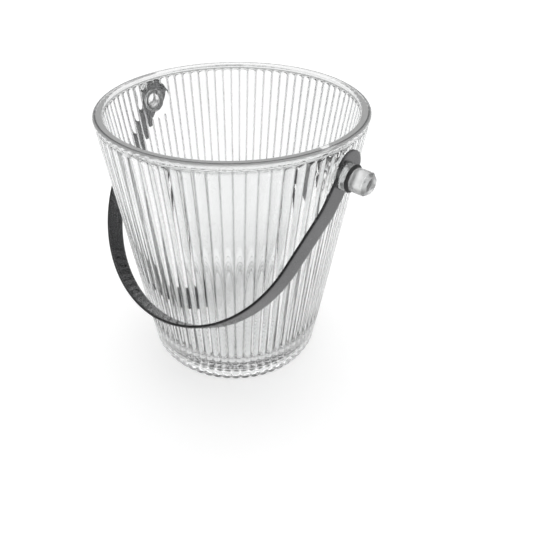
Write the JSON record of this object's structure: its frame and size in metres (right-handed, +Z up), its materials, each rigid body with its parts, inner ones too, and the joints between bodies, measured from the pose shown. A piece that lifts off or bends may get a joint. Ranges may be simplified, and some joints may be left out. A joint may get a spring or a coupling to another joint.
{
  "type": "ice bucket",
  "caption": "Round ribbed glass ice bucket with a plain lip, thick base and a flat steel bail handle that swings on two glass ears.",
  "frame": {"origin": "centre of the base on the surface that it stands on", "axes": "+Z up through the mouth; X along the bail's hinge axis; the bail hangs on the -Y side"},
  "size_m": [0.1812, 0.15, 0.162],
  "materials": {
    "clear_glass": "gloss",
    "steel_strip": "satin",
    "black_rubber": "matte",
    "clear_plastic": "gloss"
  },
  "bodies": {
    "bucket": {"glass_bucket": "clear_glass", "washer_left": "black_rubber", "washer_right": "black_rubber"},
    "bail": {"bail_handle": "steel_strip", "bush_left": "clear_plastic", "bush_right": "clear_plastic"}
  },
  "joints": [
    {"name": "bail_swing", "type": "hinge", "parent": "bucket", "child": "bail", "pos_m": [0, 0, 0.1445], "axis": [-1, 0, 0], "range_deg": [0, 286]}
  ]
}
